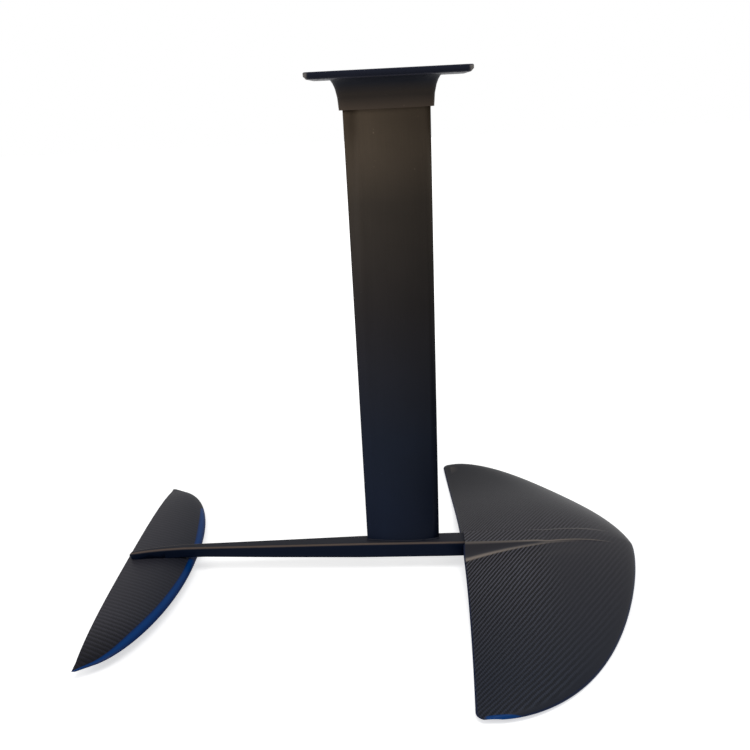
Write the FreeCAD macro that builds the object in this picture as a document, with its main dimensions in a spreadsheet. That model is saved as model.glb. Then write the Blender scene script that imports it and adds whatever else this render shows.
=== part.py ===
# Hydrofoil set: board plate, hollow mast, fuselage, front wing and stabiliser, bolted together.
#
# Frame, in millimetres: the origin is the centre of the board plate's top face, +Z points up to
# the board, +X points forwards to the front wing's nose and +Y points to the side.
import FreeCAD, Part
import math
import os

import Sketcher
from FreeCAD import Placement, Rotation, Vector

doc = FreeCAD.newDocument("hydrofoil")


# ---------------------------------------------------------------- driving dimensions
drivingSizes = {
    # board plate and its flared collar
    "plateLength": 200, "plateWidth": 114, "plateThickness": 8, "plateCorner": 10,
    "plateTopChamfer": 1, "plateLowerChamfer": 3.4, "boltPitchAlong": 165,
    "boltPitchAcross": 90, "boltHoleRadius": 4.3,
    "collarBottom": 44.5, "collarLength": 119, "collarBottomWidth": 28, "collarFlareAlong": 13,
    "collarFlareAcross": 26, "collarSideSlit": 0.1,
    # mast extrusion
    "mastOffset": -4, "mastChord": 110, "mastThickness": 16, "mastCrest": 0.38, "mastTail": 2,
    "mastNoseRadius": 3, "mastWall": 1.8, "mastHeadDepth": 10, "portOffset": 8, "portPitch": 46, "portRadius": 5.4,
    "portWeb": 7.2, "chamberNose": 6, "chamberTail": 16.5, "plugHeight": 6,
    # mast foot
    "footFlange": 2, "footLip": 1.1, "spigotHeight": 12, "slipGap": 0.12,
    # fuselage
    "fuselageTop": -668, "fuselageFront": 89.3, "fuselageWidth": 30, "fuselageHeight": 25.6,
    "fuselageCorner": 4.2, "taperStart": 60, "tailEnd": -434, "tailWidth": 10, "tailRound": 12,
    "tongueReach": 122, "tongueWidth": 18, "tongueHeight": 13, "tongueDrop": 6.5,
    # front wing
    "wingSemiSpan": 317.5, "wingNose": 345.4, "wingTipNose": 92.5, "wingTail": 87,
    "wingTailSweep": 12.2, "wingTipCorner": 14, "wingNoseHeight": -691, "wingTailHeight": -692.4,
    "wingDroop": 22.5, "wingThickness": 0.105, "wingCamber": 0.037, "wingTailEdge": 1.2,
    "wingSkin": 1.3, "spineWidth": 29, "spineTop": -667.6, "spineProud": 1.5,
    "spineFadeStart": 225, "spineEnd": 308, "socketWall": 3,
    # stabiliser
    "stabSemiSpan": 230.5, "stabNose": -330.3, "stabTip": -430.7, "stabTail": -437.4,
    "stabNoseHeight": -698, "stabTailHeight": -692.8, "stabTipHeight": -701.5, "stabSkin": 1,
    "stabThickness": 0.115, "stabCamber": 0.012, "stabTailEdge": 1.1, "stabPad": 9,
    "noseBand": 13,
    # fasteners: a shank is a little slimmer than the thread it runs in
    "largeShank": 3.9, "largeHead": 6.5, "largeHeadHeight": 5, "largeKey": 3.4,
    "smallShank": 2.9, "smallHead": 5, "smallHeadHeight": 3.2, "smallKey": 2.3,
    "plateScrewLength": 24, "footScrewLength": 40, "wingScrewLength": 14,
    "stabScrewLength": 18, "largeInsertHeight": 16, "smallInsert": 4.5,
    "smallInsertHeight": 9, "threadGap": 0.1, "bush": 6.6, "shankClearance": 0.35,
    "headRecess": 0.4, "headRoom": 1, "keyDepth": 2.6,
}
sizes = doc.addObject("Spreadsheet::Sheet", "sizes")
for row, (name, value) in enumerate(drivingSizes.items(), start=1):
    sizes.set(f"A{row}", name)
    sizes.set(f"B{row}", str(value))
    sizes.setAlias(f"B{row}", name)
doc.recompute()


def size(name):
    """One driving dimension, read from the sheet."""
    return float(getattr(sizes, name))


# ---------------------------------------------------------------- document helpers
def at(x, y, z):
    return Placement(Vector(x, y, z), Rotation())


def turned(x, y, z):
    """A placement whose own +Z points down."""
    return Placement(Vector(x, y, z), Rotation(Vector(1, 0, 0), 180))


def bind(obj, **expressions):
    """Binds properties of an object to expressions on the sheet."""
    for prop, expression in expressions.items():
        obj.setExpression(prop, expression)
    return obj


def feature(name, shape):
    """A Part::Feature that carries a computed shape."""
    obj = doc.addObject("Part::Feature", name)
    obj.Shape = shape
    return obj


def cylinder(name, place, radius, height):
    obj = doc.addObject("Part::Cylinder", name)
    obj.Placement = place
    return bind(obj, Radius=radius, Height=height)


def hexagon(name, place, radius, height):
    """An upright six-sided prism; the radius is to its corners."""
    obj = doc.addObject("Part::Prism", name)
    obj.Polygon = 6
    obj.Placement = place
    return bind(obj, Circumradius=radius, Height=height)


def block(name, low, high):
    """A box between two corners."""
    obj = doc.addObject("Part::Box", name)
    obj.Placement = at(*low)
    obj.Length, obj.Width, obj.Height = (b - a for a, b in zip(low, high))
    return obj


def fuse(name, parts):
    obj = doc.addObject("Part::MultiFuse", name)
    obj.Shapes = parts
    return obj


def cut(name, base, tools):
    """Cuts one or more tools out of base."""
    obj = doc.addObject("Part::Cut", name)
    obj.Base = base
    obj.Tool = tools[0] if len(tools) == 1 else fuse(name + "_tools", tools)
    return obj


def common(name, first, second):
    obj = doc.addObject("Part::Common", name)
    obj.Base = first
    obj.Tool = second
    return obj


def extrude(name, faces, base, height):
    """Extrudes faces drawn at Z 0 upwards from a base height, both given as expressions."""
    profile = feature(name + "_profile", Part.makeCompound(faces))
    obj = doc.addObject("Part::Extrusion", name)
    obj.Base = profile
    obj.DirMode = "Custom"
    obj.Dir = Vector(0, 0, 1)
    obj.Solid = True
    bind(obj, LengthFwd=height)
    obj.setExpression("Placement.Base.z", base)
    return obj


def group(name, source, places):
    """One node that repeats a solid as separate copies."""
    doc.recompute()
    solids = []
    for place in places:
        solid = source.Shape.copy()
        solid.Placement = place.multiply(solid.Placement)
        solids.append(solid)
    return feature(name, Part.makeCompound(solids))


# ---------------------------------------------------------------- fasteners
def capScrew(name, kind, length):
    """A cap screw with its head's face at Z 0, its shank below and a hexagonal key hole."""
    head = cylinder(name + "_head", turned(0, 0, 0), f"sizes.{kind}Head",
                    f"sizes.{kind}HeadHeight")
    shank = cylinder(name + "_shank", turned(0, 0, 0), f"sizes.{kind}Shank", f"sizes.{length}")
    key = hexagon(name + "_key", turned(0, 0, 0), f"sizes.{kind}Key", "sizes.keyDepth")
    return cut(name + "_pattern", fuse(name + "_blank", [head, shank]), [key])


def threadInsert(name, kind, across):
    """A six-sided thread insert that stands on Z 0; across is the radius to its corners."""
    wall = hexagon(name + "_wall", at(0, 0, 0), across, f"sizes.{kind}InsertHeight")
    thread = cylinder(name + "_thread", at(0, 0, 0), f"sizes.{kind}Shank + sizes.threadGap",
                      f"sizes.{kind}InsertHeight")
    return cut(name + "_pattern", wall, [thread])


def clearanceHoles(name, kind, places, length):
    """Cutters for shanks, one upwards from each place."""
    return [cylinder(f"{name}_{index}", place, f"sizes.{kind}Shank + sizes.shankClearance", length)
            for index, place in enumerate(places)]


# ---------------------------------------------------------------- mast section
mastNose = size("mastOffset") + size("mastChord") / 2
mastTail = mastNose - size("mastChord")
mastCrest = mastNose - size("mastCrest") * size("mastChord")
portMiddle = size("mastOffset") + size("portOffset")
portPlaces = [portMiddle - size("portPitch") / 2, portMiddle + size("portPitch") / 2]


def flankRadius(lip):
    """Radius of the arc from the mast's thickest place to its tail."""
    fall = (size("mastThickness") - size("mastTail")) / 2
    reach = mastCrest - mastTail + lip
    return (reach**2 + fall**2) / (2 * fall)


def noseArcs(lip):
    """The shoulder arc's radius, the nose arc's centre and radius, and where the two meet."""
    crest, nose = size("mastThickness") / 2 + lip, size("mastNoseRadius") + lip
    reach = mastNose + lip - mastCrest
    shoulder = (reach**2 - 2 * reach * nose + crest**2) / (2 * (crest - nose))
    centre = mastNose + lip - nose
    meeting = mastCrest + (centre - mastCrest) * shoulder / (shoulder - nose)
    return shoulder, centre, nose, meeting


def mastHalf(x, lip=0.0):
    """Half thickness of the mast at X: a nose arc, a shoulder arc and a long flank arc."""
    crest = size("mastThickness") / 2 + lip
    if x <= mastCrest:
        radius = flankRadius(lip)
        return crest - radius + math.sqrt(radius**2 - (mastCrest - x)**2)
    shoulder, centre, nose, meeting = noseArcs(lip)
    if x <= meeting:
        return crest - shoulder + math.sqrt(shoulder**2 - (x - mastCrest)**2)
    return math.sqrt(max(0, nose**2 - (x - centre)**2))


def flankArc(first, last, side, lip=0.0, inset=0.0):
    """An arc along one flank of the mast between two places, moved inwards by an inset."""
    return Part.Arc(*[Vector(x, side * (mastHalf(x, lip) - inset), 0)
                      for x in (first, (first + last) / 2, last)]).toShape()


def mastFace(lip=0.0):
    """The mast's outer section, grown by a lip all round."""
    meeting = noseArcs(lip)[-1]
    tail, shoulder = mastTail - lip, mastHalf(meeting, lip)
    edges = [Part.Arc(Vector(meeting, shoulder, 0), Vector(mastNose + lip, 0, 0),
                      Vector(meeting, -shoulder, 0)).toShape()]
    for side in (1, -1):
        edges += [flankArc(tail, mastCrest, side, lip), flankArc(mastCrest, meeting, side, lip)]
    half = mastHalf(tail, lip)
    edges.append(Part.makeLine(Vector(tail, half, 0), Vector(tail, -half, 0)))
    return Part.Face(Part.Wire(Part.__sortEdges__(edges)))


def chamberFaces(gap=0.0):
    """The hollows between the mast's webs, each reduced by a gap all round."""
    web = size("portWeb")
    bounds = [(mastNose - size("chamberNose"), portPlaces[1] + web),
              (portPlaces[1] - web, portPlaces[0] + web),
              (portPlaces[0] - web, mastTail + size("chamberTail"))]
    faces = []
    for front, rear in bounds:
        front, rear = front - gap, rear + gap
        inset = size("mastWall") + gap
        edges = [flankArc(front, rear, side, inset=inset) for side in (1, -1)]
        for x in (front, rear):
            half = mastHalf(x) - inset
            edges.append(Part.makeLine(Vector(x, half, 0), Vector(x, -half, 0)))
        faces.append(Part.Face(Part.Wire(Part.__sortEdges__(edges))))
    return faces


# ---------------------------------------------------------------- mast
footTop = "sizes.fuselageTop + sizes.footFlange"
mastLength = f"-sizes.mastHeadDepth - ({footTop})"
mastFoot = size("fuselageTop") + size("footFlange")
mastHead = -size("mastHeadDepth")

insertPlaces = [at(x, 0, mastHead - size("largeInsertHeight")) for x in portPlaces]
insertPlaces += [at(x, 0, mastFoot) for x in portPlaces]


def makeMast():
    """Hollow extrusion: foil outside, three chambers and two six-sided ports inside."""
    outer = extrude("mast_outer", [mastFace()], footTop, mastLength)
    hollow = extrude("mast_hollow", chamberFaces(), footTop, mastLength)
    ports = [hexagon(f"mast_port_{k}", at(x, 0, mastFoot), "sizes.portRadius", mastLength)
             for k, x in enumerate(portPlaces)]
    return cut("mast", outer, [hollow] + ports)


def makeHeadPlugs():
    """Rubber plugs that keep water out of the mast's chambers at its head."""
    return extrude("mast_head_plugs", chamberFaces(),
                   "-sizes.mastHeadDepth - sizes.plugHeight", "sizes.plugHeight")


def makeFoot():
    """Flange between mast and fuselage, with spigots that fill the chambers' lower ends."""
    flange = extrude("foot_flange", [mastFace(size("footLip"))], "sizes.fuselageTop",
                     "sizes.footFlange")
    spigots = extrude("foot_spigots", chamberFaces(size("slipGap")), "sizes.fuselageTop",
                      "sizes.footFlange + sizes.spigotHeight")
    holes = clearanceHoles("foot_hole", "large",
                           [at(x, 0, size("fuselageTop")) for x in portPlaces], "sizes.footFlange")
    return cut("mast_foot", fuse("foot_body", [flange, spigots]), holes)


def headPocket(name, face, direction):
    """A milled pocket that sinks both large screw heads below a face."""
    room = size("largeHead") + size("headRoom")
    front, rear = portPlaces[1] + room, portPlaces[0] - room
    floor = face + direction * (size("headRecess") + size("largeHeadHeight"))
    low, high = sorted((face - direction, floor))
    return block(name, (rear, -room, low), (front, room, high))


# ---------------------------------------------------------------- lofts through polygons
def flatFaces(corners):
    """One flat face between four corners, or two triangles where they don't lie in a plane."""
    distinct = [p for k, p in enumerate(corners) if p.distanceToPoint(corners[k - 1]) > 0.001]
    if len(distinct) == 4:
        normal = (distinct[1] - distinct[0]).cross(distinct[2] - distinct[0]).normalize()
        if abs(normal.dot(distinct[3] - distinct[0])) > 0.00001:
            first = distinct[:3]
            return flatFaces(first) + flatFaces([distinct[0], distinct[2], distinct[3]])
    return [Part.Face(Part.makePolygon(distinct + distinct[:1]))] if len(distinct) > 2 else []


def polygonLoft(sections):
    """A solid with straight edges between the corners of closed polygons."""
    faces = [Part.Face(Part.makePolygon(corners + corners[:1]))
             for corners in (sections[0], sections[-1])]
    for near, far in zip(sections, sections[1:]):
        for k in range(len(near)):
            faces += flatFaces([near[k - 1], near[k], far[k], far[k - 1]])
    shell = Part.makeShell(faces)
    shell.sewShape()
    solid = Part.makeSolid(shell)
    if solid.Volume < 0:
        solid.reverse()
    return solid


# ---------------------------------------------------------------- board plate
def originPlane(body, role):
    for plane in body.Origin.OriginFeatures:
        if plane.Role == role:
            return plane


def planeSketch(body, name, depth):
    """A sketch parallel to the body's XY plane, lowered by an expression."""
    sketch = body.newObject("Sketcher::SketchObject", name)
    sketch.AttachmentSupport = [(originPlane(body, "XY_Plane"), "")]
    sketch.MapMode = "FlatFace"
    sketch.setExpression("AttachmentOffset.Base.z", f"-({depth})")
    return sketch


def rectangle(sketch, length, width):
    """A centred rectangle whose sides are bound to expressions."""
    half = [(-1, -1), (1, -1), (1, 1), (-1, 1)]
    corners = [Vector(sx * 50, sy * 30, 0) for sx, sy in half]
    for k in range(4):
        sketch.addGeometry(Part.LineSegment(corners[k], corners[(k + 1) % 4]), False)
    for k in range(4):
        sketch.addConstraint(Sketcher.Constraint("Coincident", k, 2, (k + 1) % 4, 1))
    for k in (0, 2):
        sketch.addConstraint(Sketcher.Constraint("Horizontal", k))
        sketch.addConstraint(Sketcher.Constraint("Vertical", k + 1))
    sketch.addConstraint(Sketcher.Constraint("Symmetric", 0, 1, 1, 2, -1, 1))
    along = sketch.addConstraint(Sketcher.Constraint("DistanceX", 0, 1, 0, 2, 100))
    across = sketch.addConstraint(Sketcher.Constraint("DistanceY", 1, 1, 1, 2, 60))
    sketch.setExpression(f"Constraints[{along}]", length)
    sketch.setExpression(f"Constraints[{across}]", width)


def edgesWhere(shape, test):
    """Names of the edges whose every end point passes a test."""
    return [f"Edge{k}" for k, edge in enumerate(shape.Edges, start=1)
            if all(test(vertex.Point) for vertex in edge.Vertexes)]


def makePlate():
    """Board plate with a collar that flares down to the mast, as one machined piece."""
    body = doc.addObject("PartDesign::Body", "plate_blank")
    outline = planeSketch(body, "plate_outline", "0")
    rectangle(outline, "sizes.plateLength", "sizes.plateWidth")
    pad = body.newObject("PartDesign::Pad", "plate_pad")
    pad.Profile = outline
    pad.Reversed = True
    bind(pad, Length="sizes.plateThickness")
    doc.recompute()

    corners = body.newObject("PartDesign::Fillet", "plate_corners")
    upright = [f"Edge{k}" for k, edge in enumerate(pad.Shape.Edges, start=1)
               if abs(edge.tangentAt(edge.FirstParameter).z) > 0.5]
    corners.Base = (pad, upright)
    bind(corners, Radius="sizes.plateCorner")
    doc.recompute()

    lower = body.newObject("PartDesign::Chamfer", "plate_lower_edge")
    floor = -size("plateThickness")
    lower.Base = (corners, edgesWhere(corners.Shape, lambda p: abs(p.z - floor) < 0.01))
    bind(lower, Size="sizes.plateLowerChamfer")
    doc.recompute()

    upper = body.newObject("PartDesign::Chamfer", "plate_upper_edge")
    upper.Base = (lower, edgesWhere(lower.Shape, lambda p: abs(p.z) < 0.01))
    bind(upper, Size="sizes.plateTopChamfer")
    body.Tip = upper
    doc.recompute()

    # the collar's flare is a quarter of an ellipse in height, sampled by equal turns
    height = size("collarBottom") - size("plateThickness") + 1
    sections = []
    for turn in (0, 24, 42, 56, 68, 78):
        angle = math.radians(turn)
        along = size("collarLength") / 2 + size("collarFlareAlong") * (1 - math.cos(angle))
        across = size("collarBottomWidth") / 2 + size("collarFlareAcross") * (1 - math.cos(angle))
        level = height * math.sin(angle) - size("collarBottom")
        sections.append([Vector(size("mastOffset") + along * math.cos(math.pi * k / 18),
                                across * math.sin(math.pi * k / 18), level) for k in range(36)])
    collar = feature("plate_collar", polygonLoft(sections))
    blank = fuse("plate_with_collar", [body, collar])

    slot = extrude("mast_slot", [mastFace(size("collarSideSlit"))], "-sizes.collarBottom - 1",
                   "sizes.collarBottom + 1 - sizes.mastHeadDepth")
    bolts = []
    for sx in (-1, 1):
        for sy in (-1, 1):
            x, y = sx * size("boltPitchAlong") / 2, sy * size("boltPitchAcross") / 2
            label = f"bolt_{'front' if sx > 0 else 'rear'}_{'far' if sy > 0 else 'near'}"
            bolts.append(cylinder(label, turned(x, y, 1), "sizes.boltHoleRadius",
                                  "sizes.plateThickness + 2"))
    holes = clearanceHoles("plate_screw_hole", "large", [turned(x, 0, 0) for x in portPlaces],
                           "sizes.mastHeadDepth + 1")
    return cut("mast_plate", blank, [slot, headPocket("plate_pocket", 0, -1)] + bolts + holes)


# ---------------------------------------------------------------- wings
def foilShape(fraction):
    """Half thickness of a smooth closed section at a fraction of the chord, for thickness 1."""
    return 5 * (0.2969 * math.sqrt(fraction) - 0.1260 * fraction - 0.3516 * fraction**2
                + 0.2843 * fraction**3 - 0.1036 * fraction**4)


class Wing:
    """A lifting wing: its outline, heights and section as functions of the distance Y.

    It is two mouldings, upper and lower, that meet on the wing's middle surface. Their seam is a
    line on the upper side, a little behind the nose or on it.
    """
    crest = 0.42     # chord fraction where the middle surface is highest

    def __init__(self, prefix, stations, lead, trail, leadHeight):
        self.semiSpan = stations[-1]
        self.stations = [-y for y in reversed(stations[1:])] + stations
        self.lead, self.trail, self.leadHeight = lead, trail, leadHeight
        # every section is the root's, scaled by its chord, so that the loft's faces are flat
        chord = lead(0) - trail(0)
        self.thickness, self.camber = size(prefix + "Thickness"), size(prefix + "Camber")
        self.tilt = (size(prefix + "TailHeight") - size(prefix + "NoseHeight")) / chord
        self.tailEdge = size(prefix + "TailEdge") / chord
        self.skin = size(prefix + "Skin")
        self.steps, self.seam = self.corners()

    def corners(self):
        """Chord fractions of a section's corners and the number of those in front of the seam."""
        return [(k / 9)**2.2 for k in range(10)], 0

    def crown(self, x, y, height):
        """What the upper side carries on top of the plain section."""
        return height

    def point(self, y, fraction, side, inset=0.0, plain=False):
        """Point of the upper (side 1), middle (0) or lower (-1) surface, moved inwards."""
        if fraction < self.crest:
            bow = (2 * self.crest * fraction - fraction**2) / self.crest**2
        else:
            bow = ((1 - 2 * self.crest + 2 * self.crest * fraction - fraction**2)
                   / (1 - self.crest)**2)
        chord = self.lead(y) - self.trail(y)
        half = chord * (self.thickness * foilShape(fraction) + self.tailEdge / 2 * fraction)
        x = self.lead(y) - chord * fraction
        height = (self.leadHeight(y) + chord * (self.tilt * fraction + self.camber * bow)
                  + side * (half - inset))
        if side > 0 and not plain:
            height = self.crown(x, y, height)
        return Vector(x, y, height)

    def row(self, y, fractions, side, **changes):
        return [self.point(y, fraction, side, **changes) for fraction in fractions]

    def middleBack(self, y):
        """The middle surface from the tail forwards to the seam, short of a seam at the nose."""
        return self.row(y, self.steps[max(self.seam, 1):], 0)[::-1]

    def upperHalf(self):
        """From the seam over the upper side to the tail, closed by the middle surface."""
        return polygonLoft([self.row(y, self.steps[self.seam:], 1) + self.middleBack(y)
                            for y in self.stations])

    def lowerHalf(self):
        """From the seam round the nose and under the wing, closed by the middle surface."""
        return polygonLoft([self.row(y, self.steps[1:self.seam + 1], 1)[::-1]
                            + self.row(y, self.steps, -1) + self.middleBack(y)
                            for y in self.stations])

    def core(self, reach, nearest):
        """The foam inside: a share of the span, from the middle to the tips but for the stations
        nearer than a distance, and without the corners next to nose and tail."""
        limit = reach * self.semiSpan
        inner = [y for y in self.stations if y == 0 or nearest <= abs(y) < limit - 8]
        kept = self.steps[max(2, self.seam):-1]
        return polygonLoft([self.row(y, kept, 1, inset=self.skin, plain=True)
                            + self.row(y, kept[::-1], -1, inset=self.skin)
                            for y in [-limit] + inner + [limit]])

    def heightAt(self, x, side):
        """Height of the upper or lower side on the centre line, between its corners."""
        corners = self.row(0, self.steps, side)
        for ahead, behind in zip(corners, corners[1:]):
            if behind.x <= x <= ahead.x:
                return ahead.z + (behind.z - ahead.z) * (ahead.x - x) / (ahead.x - behind.x)


# ---------------------------------------------------------------- front wing
spineHalf = size("spineWidth") / 2
wingSpan = size("wingSemiSpan") - 0.6


def wingLead(y):
    share = min(abs(y) / size("wingSemiSpan"), 1)
    return (size("wingTipNose")
            + (size("wingNose") - size("wingTipNose")) * math.sqrt(1 - share**1.4))


def wingTrail(y):
    """Nearly straight tail edge that turns forwards in a round corner at the tip."""
    share = abs(y) / size("wingSemiSpan")
    radius = size("wingTipCorner")
    into = max(0, abs(y) - size("wingSemiSpan") + radius)
    return (size("wingTail") - size("wingTailSweep") * share**2
            + radius - math.sqrt(radius**2 - into**2))


def wingDrop(y):
    """The wing bends down towards four fifths of its half span, then levels out."""
    share = abs(y) / size("wingSemiSpan")
    return size("wingDroop") * math.sin(math.pi / 2 * share / 0.78)**2


# distances from the centre: close together across the spine, then widening, then closing
spineStations = [spineHalf * k for k in (0, 0.9, 1.08, 1.35, 1.8, 2.6)]
wingStations = spineStations + [wingSpan * math.sin(math.pi / 2 * k / 8) for k in range(2, 9)]


class FrontWing(Wing):
    """The front wing carries a spine that runs from the fuselage's top forwards and fades."""

    def crown(self, x, y, height):
        root = (self.lead(0) - x) / (self.lead(0) - self.trail(0))
        plain = self.point(0, max(0, min(1, root)), 1, plain=True).z
        start, end = size("spineFadeStart"), size("spineEnd")
        fade = max(0, min(1, (x - start) / (end - start)))
        crest = plain + size("spineProud") * (1 - fade**2)
        if x < start:
            crest = max(crest, size("spineTop"))
        rise = crest - height
        if rise <= 0:
            return height
        # the side falls steeply, then runs out in a hollow fillet that is wider where it is tall
        reach = 4.5 + 0.58 * rise
        away = max(0, abs(y) - spineHalf) / reach
        return height + rise * max(0, 1 - away)**3


frontWing = FrontWing("wing", wingStations, wingLead, wingTrail,
                      lambda y: size("wingNoseHeight") - wingDrop(y))

tongueTop = size("fuselageTop") - size("tongueDrop")
tongueBottom = tongueTop - size("tongueHeight")
tongueEnd = size("fuselageFront") + size("tongueReach")
wingScrewPlaces = [size("fuselageFront") + reach for reach in (26, 94)]


def headPlaces(wing, places):
    """Placements of screw heads that sit just inside a wing's lower side, shanks upwards."""
    return [turned(x, 0, wing.heightAt(x, -1) + size("headRecess")) for x in places]


def bushBores(name, wing, places, top):
    """Six-sided bores from below a wing up to a height, one for each bush and its screw."""
    low = min(wing.heightAt(x, -1) for x in places) - 2
    return [hexagon(f"{name}_{k}", at(x, 0, low), "sizes.bush", f"({top}) - ({low})")
            for k, x in enumerate(places)]


def bushes(name, bores, within, heads):
    """The bushes in their bores: they start on the screws' heads and end inside a shape."""
    beds = []
    for k, head in enumerate(heads):
        low = head.Base.z + size("smallHeadHeight")
        room = size("bush") + 1
        beds.append(block(f"{name}_bed_{k}", (head.Base.x - room, -room, low - 30),
                          (head.Base.x + room, room, low)))
    holes = clearanceHoles(f"{name}_hole", "small", [at(*head.Base) for head in heads],
                           "sizes.stabScrewLength")
    blanks = common(f"{name}_blanks", fuse(f"{name}_bores", bores), within)
    return cut(name, blanks, beds + holes)


def wingPieces():
    """Skins, foam core, socket, bushes, screws and thread inserts of the front wing."""
    seam, halfFuselage = size("fuselageFront"), size("fuselageWidth") / 2 + size("slipGap")
    notch = block("wing_notch", (seam - 30, -halfFuselage, -720), (seam, halfFuselage, -640))
    upper = feature("wing_upper_half", frontWing.upperHalf())
    lower = feature("wing_lower_half", frontWing.lowerHalf())
    core = feature("wing_core_shape",
                   frontWing.core(0.93, spineStations[-1]))

    gap, wall = size("slipGap"), size("socketWall")
    halfTongue = size("tongueWidth") / 2 + gap
    slot = block("tongue_slot", (seam - 1, -halfTongue, tongueBottom - gap),
                 (tongueEnd + gap, halfTongue, tongueTop + gap))
    socketBlock = block("socket_block", (seam, -halfTongue - wall, tongueBottom - gap - wall),
                        (tongueEnd + gap + wall, halfTongue + wall, tongueTop + gap + wall))

    # screws come up from the wing's underside, each through its own bush
    heads = headPlaces(frontWing, wingScrewPlaces)
    bores = bushBores("wing_bush_bore", frontWing, wingScrewPlaces, tongueBottom - gap)

    topSkin = cut("front_wing_top_skin", upper, [core, socketBlock, notch])
    bottomSkin = cut("front_wing_bottom_skin", lower, [core, socketBlock, notch] + bores)
    foam = cut("front_wing_core", core, [socketBlock] + bores)
    socket = cut("front_wing_socket", socketBlock, [slot] + bores)
    around = block("wing_bush_room", (seam, -20, -720), (tongueEnd, 20, -640))
    sleeves = bushes("front_wing_bushes", bores, around, heads)
    screws = group("front_wing_screws", capScrew("wing_screw_model", "small", "wingScrewLength"),
                   heads)
    inserts = group("fuselage_nose_inserts", threadInsert("nose_insert", "small", "sizes.smallInsert"),
                    [at(x, 0, tongueBottom) for x in wingScrewPlaces])
    return [topSkin, bottomSkin, foam, socket, sleeves, screws, inserts]


# ---------------------------------------------------------------- stabiliser
stabSpan = size("stabSemiSpan") - 0.4


def beyondPad(y):
    """Distance outside the flat pad in the middle, on which the fuselage's tail sits."""
    return max(0, abs(y) - size("stabPad")) / (size("stabSemiSpan") - size("stabPad"))


def stabLead(y):
    return size("stabTip") + (size("stabNose") - size("stabTip")) * math.sqrt(1 - beyondPad(y)**2)


def stabTrail(y):
    return size("stabTail") + (size("stabTip") - size("stabTail") - 1.2) * beyondPad(y)**3


def stabHeight(y):
    """The nose stays level, then bends to the tip's height in its last third."""
    start = size("stabNoseHeight")
    return start + (size("stabTipHeight") - start) * beyondPad(y)**6


stabPad = size("stabPad")
stabStations = [0] + [stabPad + (stabSpan - stabPad) * math.sin(math.pi / 2 * k / 9)
                      for k in range(10)]


class Stabiliser(Wing):
    """The stabiliser's lower moulding wraps round the nose and shows as a band above it."""

    def corners(self):
        seam = size("noseBand") / (self.lead(0) - self.trail(0))
        nose = [seam * (k / 3)**2 for k in range(3)]
        return nose + [seam + (1 - seam) * (k / 5)**1.2 for k in range(6)], 3


stabiliser = Stabiliser("stab", stabStations, stabLead, stabTrail, stabHeight)
stabScrewPlaces = [-360, -394]


def stabPieces():
    """Skins, core, bushes, screws and thread inserts of the stabiliser."""
    upper = feature("stab_upper_half", stabiliser.upperHalf())
    lower = feature("stab_lower_half", stabiliser.lowerHalf())
    core = feature("stab_core_shape", stabiliser.core(0.88, stabPad))

    heads = headPlaces(stabiliser, stabScrewPlaces)
    bores = bushBores("stab_bush_bore", stabiliser, stabScrewPlaces, size("stabTailHeight") + 12)
    topSkin = cut("stabiliser_top_skin", upper, [core] + bores)
    bottomSkin = cut("stabiliser_bottom_skin", lower, [core] + bores)
    foam = cut("stabiliser_core", core, bores)
    whole = fuse("stab_whole", [upper, lower])
    sleeves = bushes("stabiliser_bushes", bores, whole, heads)
    screws = group("stabiliser_screws", capScrew("stab_screw_model", "small", "stabScrewLength"),
                   heads)
    inserts = group("fuselage_tail_inserts", threadInsert("tail_insert", "small", "sizes.smallInsert"),
                    [at(x, 0, insertSeat(x)) for x in stabScrewPlaces])
    return [topSkin, bottomSkin, foam, sleeves, screws, inserts]


def insertSeat(x):
    """Height at which a thread insert starts, just inside the fuselage's saddle."""
    return max(stabiliser.heightAt(x + turn * size("smallInsert"), 1) for turn in (-1, 1)) + 0.3


# ---------------------------------------------------------------- fuselage
def fuselageHalf(x):
    """Half width: constant under the mast, then a gentle taper to the tail."""
    share = max(0, size("taperStart") - x) / (size("taperStart") - size("tailEnd"))
    return size("fuselageWidth") / 2 - (size("fuselageWidth") - size("tailWidth")) / 2 * share**1.15


def roundedSection(x, half, top, bottom):
    """A rectangle with round corners, across the fuselage at X."""
    radius = min(size("fuselageCorner"), 0.8 * half, 0.4 * (top - bottom))
    centres = [(half - radius, top - radius, 0), (-half + radius, top - radius, 90),
               (-half + radius, bottom + radius, 180), (half - radius, bottom + radius, 270)]
    arcs = []
    for y, z, start in centres:
        points = []
        for turn in (start, start + 45, start + 90):
            angle = math.radians(turn)
            points.append(Vector(x, y + radius * math.cos(angle), z + radius * math.sin(angle)))
        arcs.append(Part.Arc(*points).toShape())
    edges = []
    for k, arc in enumerate(arcs):
        following = arcs[(k + 1) % 4]
        edges += [arc, Part.makeLine(arc.Vertexes[-1].Point, following.Vertexes[0].Point)]
    return Part.Wire(edges)


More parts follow.
